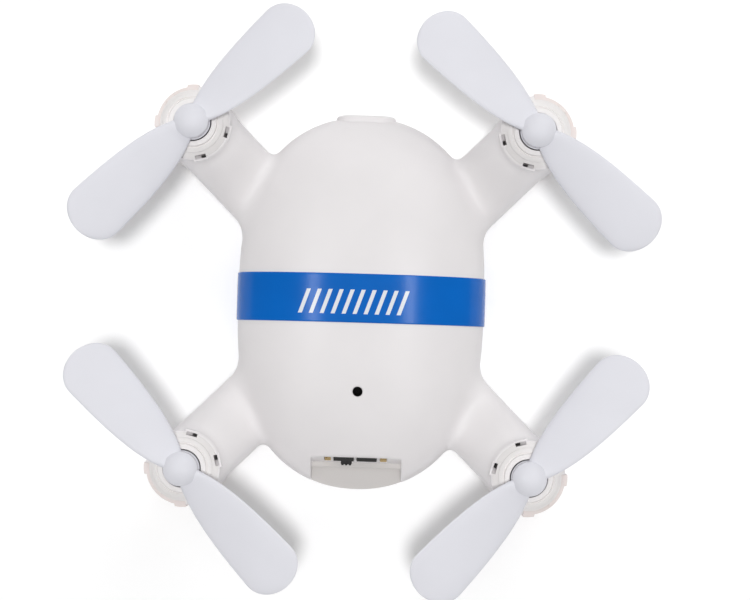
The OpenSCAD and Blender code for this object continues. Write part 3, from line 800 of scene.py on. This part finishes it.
def hub():
    """Domed hub with a wider collar below it."""
    dome_r = (HUB_R ** 2 + DOME_H ** 2) / (2 * DOME_H)
    start = math.asin(HUB_R / dome_r)
    dome = [(dome_r * math.sin(a), HUB_TOP - dome_r + dome_r * math.cos(a))
            for a in np.linspace(start, 0, 14)]
    dome[-1] = (0, HUB_TOP)
    collar_top = COLLAR_LOW + COLLAR_H
    side = soften([(0, COLLAR_LOW), (COLLAR_R, COLLAR_LOW), (COLLAR_R, collar_top), (HUB_R, collar_top),
                   (HUB_R, HUB_TOP - DOME_H)], SMALL_ROUND, closed=False)
    return lathe([tuple(p) for p in side[:-1]] + dome)


def propeller(corner):
    obj = make_mesh(f"propeller_moulding_{corner}", hub())
    blades = blade(SPIN[corner])
    combine(obj, "UNION", blades, placed(blades, math.pi))
    cut(obj, rod(SHAFT_R + SHAFT_FIT, CAN_TOP, SHAFT_HOLE_TOP, 32))
    turn = pod_angle(corner) + math.radians(90 + PARK[corner])
    obj.data.transform(Matrix.Translation(metres(pod_place(corner))) @ Matrix.Rotation(turn, 4, "Z"))
    shade(obj, 40)
    finish(obj, "propeller", f"rotor_{corner}", f"propeller_{corner}")


# ---------- pods ----------

RING_HOLE_R = 3.35
LAMP_TOP = 21.8
LIP_IN = 5.75
LIP_GAP = 0.03
LIP_SUNK = 0.9
LIP_ROUND = 0.06
RIB_R = 6.9
RIB_W = 2.0
TAB_HALF = 0.8
TAB_TOP = 22.6
TAB_T = 0.45
FOOT_BEND = 2.6
FOOT_R = 6.3
FOOT_COLLAR_R = 3.45
FOOT_COLLAR_H = 0.8
FOOT_WELL_R = 2.9
FOOT_FLOOR = 0.9


def pod_ring(corner):
    """Ring that closes the top of a pod, with a raised inner rim, cut back at the lamp cover."""
    sleeve_low, top = CAN_TOP + 0.2, POD_TOP
    outline = [(RING_HOLE_R, sleeve_low), (RING_SLEEVE_R, sleeve_low), (RING_SLEEVE_R, top), (6.2, top),
               (6.2, top + 0.3), (5.3, top + 0.95), (5.2, top + 1.2), (4.5, top + 1.6), (4.4, top + 1.4),
               (4.3, top + 1.4), (4.2, top + 1.8), (4.1, top + RING_RISE),
               (RING_HOLE_R - 0.05, top + RING_RISE)]
    obj = make_mesh(f"pod_ring_moulding_{corner}", at_pod(lathe(soften(outline, SMALL_ROUND), 128), corner))
    gap = prism(sector(LIP_IN - LIP_GAP, 10, LAMP_ANGLE), top - 2, top + 4)
    cut(obj, at_pod(gap, corner), at_pod(clip_slots(), corner))
    shade(obj, 30)
    finish(obj, "pod_ring", "airframe", f"pod_ring_{corner}")


def lip_outline():
    """Plan of a lamp cover's wall, with a rib at each end."""
    end = LAMP_ANGLE - math.radians(1)
    rib = end - math.asin(RIB_W / RIB_R)
    wall = end - math.asin(RIB_W / POD_R)
    return (arc(RIB_R, -end, -rib, 6) + arc(POD_R, -wall, wall, 24) + arc(RIB_R, rib, end, 6)
            + arc(LIP_IN, end, -end, 30))


def lamp_foot(corner):
    """Lamp cover: a round foot with a well for the lamp, and a wall up the outer side of its pod."""
    flat = FOOT_R - FOOT_BEND
    bowl = [(flat + x, FOOT_BEND + z) for x, z in arc(FOOT_BEND, -math.pi / 2, 0, 12)]
    collar_top = FOOT_BEND + FOOT_COLLAR_H
    inside = soften([bowl[-1], (FOOT_COLLAR_R, FOOT_BEND), (FOOT_COLLAR_R, collar_top),
                     (FOOT_WELL_R, collar_top), (FOOT_WELL_R, FOOT_FLOOR), (0, FOOT_FLOOR)],
                    SMALL_ROUND, closed=False)
    profile = [(0, 0)] + bowl + [tuple(p) for p in inside[1:]]
    obj = make_mesh(f"lamp_cover_{corner}", at_pod(lathe(profile), corner))
    lip = prism(soften(lip_outline(), SMALL_ROUND), FOOT_BEND - LIP_SUNK, LAMP_TOP, top_round=LIP_ROUND)
    tab = prism(rectangle(LIP_IN, -TAB_HALF, LIP_IN + TAB_T, TAB_HALF, 0.1), LAMP_TOP - 1, TAB_TOP,
                top_round=0.08)
    combine(obj, "UNION", at_pod(lip, corner), at_pod(tab, corner))
    shade(obj, 35)
    finish(obj, "lamp_cover", "airframe", f"lamp_foot_{corner}")


# ---------- nose, switch knob ----------

def nose():
    back, front = NOSE_LOW[1], NOSE_HIGH[1]
    bezel = make_mesh("nose_bezel_moulding", nose_bar(NOSE_W, NOSE_H, back, front, 0.6))
    cut(bezel, nose_bar(NOSE_W - 2 * WALL, NOSE_H - 2 * WALL, back - 1, front + 1))
    shade(bezel, 40)
    finish(bezel, "shell", "airframe", "nose_bezel")
    low, high = box_mm("nose_lens")
    lens = make_mesh("nose_lens_moulding",
                     nose_bar(high[0] - low[0], high[2] - low[2], low[1], high[1], 0.7))
    shade(lens, 40)
    finish(lens, "clear_lens", "airframe", "nose_lens")


KNOB_EDGE = 0.2
KNOB_RIBS = 3
KNOB_RIB_START = 0.08
KNOB_RIB_PITCH = 0.65
KNOB_RIB_W = 0.42
KNOB_RIB_H = 0.6


def switch_knob():
    """Knob of the slide switch, with upright ribs for a fingertip on its face."""
    low, high = box_mm("switch_knob")
    stem = tipped(prism(rectangle(low[0], low[2], high[0], high[2], 0.35), low[1] + KNOB_EDGE, high[1],
                        top_round=0, low_round=0.15))
    obj = make_mesh("slide_knob", stem)
    ribs = []
    for k in range(KNOB_RIBS):
        left = low[0] + KNOB_RIB_START + k * KNOB_RIB_PITCH
        plan = rectangle(left, low[2] + KNOB_EDGE, left + KNOB_RIB_W, high[2] - KNOB_EDGE, SMALL_ROUND)
        ribs.append(tipped(prism(plan, low[1], low[1] + KNOB_RIB_H, top_round=0, low_round=0.1)))
    combine(obj, "UNION", join(ribs))
    shade(obj, 30)
    finish(obj, "black_plastic", "switch", "switch_knob")


# ---------- materials ----------

def new_material(name):
    made = bpy.data.materials.new(name)
    made.use_nodes = True
    tree = made.node_tree
    return made, tree.nodes, tree.links, tree.nodes["Principled BSDF"]


def object_noise(nodes, links, scale, detail=3.0, stretch=None):
    """Noise fixed to the object; scale is in waves per metre."""
    place = nodes.new("ShaderNodeTexCoord").outputs["Object"]
    if stretch:
        warp = nodes.new("ShaderNodeMapping")
        warp.inputs["Scale"].default_value = stretch
        links.new(place, warp.inputs["Vector"])
        place = warp.outputs["Vector"]
    noise = nodes.new("ShaderNodeTexNoise")
    noise.inputs["Scale"].default_value = scale
    noise.inputs["Detail"].default_value = detail
    links.new(place, noise.inputs["Vector"])
    return noise.outputs["Fac"]


def blend_colours(nodes, links, share, first, second):
    ramp = nodes.new("ShaderNodeValToRGB")
    ramp.color_ramp.elements[0].position = 0.35
    ramp.color_ramp.elements[1].position = 0.65
    ramp.color_ramp.elements[0].color = (*first, 1)
    ramp.color_ramp.elements[1].color = (*second, 1)
    links.new(share, ramp.inputs["Fac"])
    return ramp.outputs["Color"]


def spread_value(nodes, links, share, low, high):
    span = nodes.new("ShaderNodeMapRange")
    span.inputs["To Min"].default_value = low
    span.inputs["To Max"].default_value = high
    span.inputs["From Min"].default_value = 0.3
    span.inputs["From Max"].default_value = 0.7
    links.new(share, span.inputs["Value"])
    return span.outputs["Result"]


def moulded(name, colour, roughness, shift=0.03, grain=2500, bump=0.03, metallic=0.0, stretch=None,
            **constants):
    """Moulded, plated or painted stuff: a slow change of colour, a fine grain and uneven gloss.

    Each further constant is named after a socket of the shader, with _ for its spaces.
    """
    made, nodes, links, shader = new_material(name)
    slow = object_noise(nodes, links, 120, 2.0)
    darker = tuple(c * (1 - shift) for c in colour)
    links.new(blend_colours(nodes, links, slow, darker, colour), shader.inputs["Base Color"])
    fine = object_noise(nodes, links, grain, 3.0, stretch)
    links.new(spread_value(nodes, links, fine, roughness * 0.9, min(1, roughness * 1.1)),
              shader.inputs["Roughness"])
    relief = nodes.new("ShaderNodeBump")
    relief.inputs["Strength"].default_value = bump
    relief.inputs["Distance"].default_value = 0.0001
    links.new(fine, relief.inputs["Height"])
    links.new(relief.outputs["Normal"], shader.inputs["Normal"])
    shader.inputs["Metallic"].default_value = metallic
    for socket, value in constants.items():
        shader.inputs[socket.replace("_", " ")].default_value = value
    return made


def math_node(nodes, links, operation, *inputs):
    """Output of a maths node; each input is a number or another node's output."""
    made = nodes.new("ShaderNodeMath")
    made.operation = operation
    for socket, value in zip(made.inputs, inputs):
        if isinstance(value, bpy.types.NodeSocket):
            links.new(value, socket)
        else:
            socket.default_value = value
    return made.outputs[0]


def all_of(nodes, links, masks):
    """Product of masks."""
    share = masks[0]
    for mask in masks[1:]:
        share = math_node(nodes, links, "MULTIPLY", share, mask)
    return share


def between(nodes, links, value, low, high):
    """1 where the value lies between low and high, both in millimetres, else 0."""
    return all_of(nodes, links, [math_node(nodes, links, "GREATER_THAN", value, low / MM_PER_M),
                                 math_node(nodes, links, "LESS_THAN", value, high / MM_PER_M)])


def object_place(nodes, links):
    """X, Y and Z in the object, in metres."""
    place = nodes.new("ShaderNodeSeparateXYZ")
    links.new(nodes.new("ShaderNodeTexCoord").outputs["Object"], place.inputs["Vector"])
    return [place.outputs[axis] for axis in "XYZ"]


def paint_over(made, colour, masks):
    """Give a material a second base colour where all the masks are 1."""
    nodes, links = made.node_tree.nodes, made.node_tree.links
    base = nodes["Principled BSDF"].inputs["Base Color"]
    under = base.links[0].from_socket
    mix = nodes.new("ShaderNodeMix")
    mix.data_type = "RGBA"
    mix.inputs["B"].default_value = (*colour, 1)
    links.new(all_of(nodes, links, masks), mix.inputs["Factor"])
    links.new(under, mix.inputs["A"])
    links.new(mix.outputs["Result"], base)


FAR = 1000


def shell_plastic():
    """Glossy white plastic, with painted shade that darkens the ledge and floor of the rear recess."""
    made = moulded("shell_plastic", (0.81, 0.785, 0.79), 0.42, 0.02)
    nodes, links = made.node_tree.nodes, made.node_tree.links
    x, y, z = object_place(nodes, links)
    # Painted shade: a darker, greyer colour on the ledge and floor of the rear recess stands in for the
    # shade that falls there.
    paint_over(made, (0.62, 0.595, 0.58), [
        between(nodes, links, x, -RECESS_HALF, RECESS_HALF),
        between(nodes, links, y, -FAR, LEDGE_FRONT),
        between(nodes, links, z, SEAM - 0.1, LEDGE_Z + 0.1)])
    return made


# Bars printed on the belt
MARK_LEFT = -9.9
MARK_RIGHT = 8.0
MARK_LOW = -2.5
MARK_HIGH = 1.7
MARK_PITCH = 1.9
MARK_BAR = 0.7
MARK_LEAN = -0.35


def belt_print():
    """Blue film with a plain row of white slanted bars."""
    made = moulded("belt_print", (0.0, 0.13, 0.53), 0.2, 0.08, bump=0.01,
                   Specular_IOR_Level=0.15, Coat_Weight=0.1, Coat_Roughness=0.15)
    nodes, links = made.node_tree.nodes, made.node_tree.links
    x, y, z = object_place(nodes, links)
    slanted = math_node(nodes, links, "MULTIPLY_ADD", y, MARK_LEAN, x)
    to_bar = math_node(nodes, links, "PINGPONG", slanted, MARK_PITCH / 2 / MM_PER_M)
    paint_over(made, (0.75, 0.78, 0.82), [
        between(nodes, links, to_bar, -FAR, MARK_BAR / 2),
        between(nodes, links, slanted, MARK_LEFT, MARK_RIGHT),
        between(nodes, links, y, MARK_LOW, MARK_HIGH),
        between(nodes, links, z, SEAM, FAR)])
    return made


MATERIALS = {
    "shell": shell_plastic(),
    "propeller": moulded("propeller_plastic", (0.77, 0.77, 0.82), 0.5, 0.02),
    "pod_ring": moulded("ring_plastic", (0.835, 0.81, 0.80), 0.45, 0.03),
    "lamp_cover": moulded("lamp_cover_plastic", (0.79, 0.72, 0.70), 0.35, 0.04, Subsurface_Weight=0.15,
                          Subsurface_Scale=0.001, Subsurface_Radius=(1, 0.75, 0.65)),
    "belt": belt_print(),
    "clear_lens": moulded("lens_plastic", (0.85, 0.9, 0.95), 0.08, 0.02, bump=0.01,
                          Transmission_Weight=0.9),
    "led": moulded("led_package", (0.95, 0.9, 0.7), 0.3, 0.05),
    "board": moulded("board_mask", (0.02, 0.12, 0.06), 0.35, 0.3),
    "black_plastic": moulded("black_plastic", (0.012, 0.011, 0.011), 0.45, 0.3),
    "steel": moulded("plated_steel", (0.62, 0.62, 0.63), 0.3, 0.05, metallic=1.0, stretch=(1, 1, 12)),
    "brass": moulded("plated_brass", (0.75, 0.55, 0.28), 0.3, 0.08, metallic=1.0),
    "cell_foil": moulded("cell_foil", (0.65, 0.67, 0.7), 0.25, 0.05, grain=900, bump=0.3, metallic=1.0),
    "foam": moulded("foam_tape", (0.03, 0.03, 0.032), 0.9, 0.3, grain=3000, bump=0.6),
    "white_plastic": moulded("white_plastic", (0.78, 0.77, 0.74), 0.45, 0.04),
    "wire": moulded("wire_insulation", (0.45, 0.03, 0.02), 0.4, 0.1),
}


def finish(obj, slot, body, node):
    """Give a finished piece its material and its place on a body, and hide the CAD node that it stands for.
    """
    obj.data.materials.clear()
    obj.data.materials.append(MATERIALS[slot])
    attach(obj, body)
    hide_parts(node)


def dress_frame():
    """Give every CAD node the material of its slot."""
    for part in frame["record"]["subparts"]:
        obj, material = frame["nodes"][part["node"]], MATERIALS[part["material_slot"]]
        if obj.data.materials:
            for slot in obj.material_slots:
                slot.material = material
        else:
            obj.data.materials.append(material)


# ---------- camera, floor and light ----------

CAMERA_AT = (5.8, -8.6, 377.6)
CAMERA_AIM = (2.6, -0.05, 27.6)
CAMERA_ROLL = -0.029
LENS_MM = 98.0
FLOOR_HALF = 3000
FLOOR_T = 20
LIGHT_AIM = (0, 0, 15)
# Turns of the sun lamp about X and Y that lay the shadows evenly round the picture
SUN_TILT = (0.0247, 0.0162, 0)


def looking(place, aim, roll=0.0):
    """Matrix that stands at place and looks at aim, with +Y up in the picture."""
    back = (metres(place) - metres(aim)).normalized()
    up = Vector((math.sin(roll), math.cos(roll), 0))
    right = up.cross(back).normalized()
    turn = Matrix((right, back.cross(right), back)).transposed().to_4x4()
    return Matrix.Translation(metres(place)) @ turn


def camera():
    data = bpy.data.cameras.new("camera")
    data.lens = LENS_MM
    data.sensor_width = 36
    data.clip_start = 0.01
    obj = bpy.data.objects.new("camera", data)
    obj.matrix_world = looking(CAMERA_AT, CAMERA_AIM, CAMERA_ROLL)
    bpy.context.scene.collection.objects.link(obj)
    bpy.context.scene.camera = obj


def floor():
    """Wide white floor that glows a little, so that it stays white in the picture."""
    half = FLOOR_HALF
    obj = make_mesh("floor", prism(rectangle(-half, -half, half, half), -FLOOR_T, 0))
    made, nodes, links, shader = new_material("studio_floor")
    slow = object_noise(nodes, links, 20, 2.0)
    links.new(blend_colours(nodes, links, slow, (0.955, 0.955, 0.955), (0.965, 0.965, 0.965)),
              shader.inputs["Base Color"])
    shader.inputs["Roughness"].default_value = 0.9
    shader.inputs["Specular IOR Level"].default_value = 0.0
    shader.inputs["Emission Color"].default_value = (1, 1, 1, 1)
    shader.inputs["Emission Strength"].default_value = 0.1
    obj.data.materials.append(made)


def area_light(name, place, size, watts):
    data = bpy.data.lights.new(name, "AREA")
    data.shape = "RECTANGLE"
    data.size, data.size_y = size[0] / MM_PER_M, size[1] / MM_PER_M
    data.energy = watts
    obj = bpy.data.objects.new(name, data)
    obj.matrix_world = looking(place, LIGHT_AIM)
    bpy.context.scene.collection.objects.link(obj)
    return obj


def light():
    """White surroundings, a soft sun overhead, two softboxes, and two strips for highlights alone."""
    scene = bpy.context.scene
    scene.view_settings.view_transform = "Standard"
    world = bpy.data.worlds.new("studio")
    world.use_nodes = True
    background = world.node_tree.nodes["Background"]
    background.inputs["Color"].default_value = (1, 1, 1, 1)
    background.inputs["Strength"].default_value = 0.27
    scene.world = world
    sun = bpy.data.lights.new("overhead", "SUN")
    sun.energy = 1.55
    sun.angle = 0.14
    obj = bpy.data.objects.new("overhead", sun)
    obj.rotation_euler = SUN_TILT
    obj.visible_glossy = False
    scene.collection.objects.link(obj)
    area_light("front_softbox", place=(330, 1050, 900), size=(1200, 900), watts=4.4)
    overhead = area_light("overhead_softbox", place=(0, 0, 1000), size=(500, 500), watts=1.05)
    overhead.visible_glossy = False
    for side in (-1, 1):
        strip = area_light(f"strip_{side}", place=(side * 450, 0, 1000), size=(110, 600), watts=2.4)
        strip.visible_diffuse = False


camera()
floor()
light()
dress_frame()
shells()
belt("belt_upper_strip", 0, 180, "belt_upper")
belt("belt_lower_strip", 180, 360, "belt_lower")
nose()
switch_knob()
for pod in CORNERS:
    propeller(pod)
    pod_ring(pod)
    lamp_foot(pod)
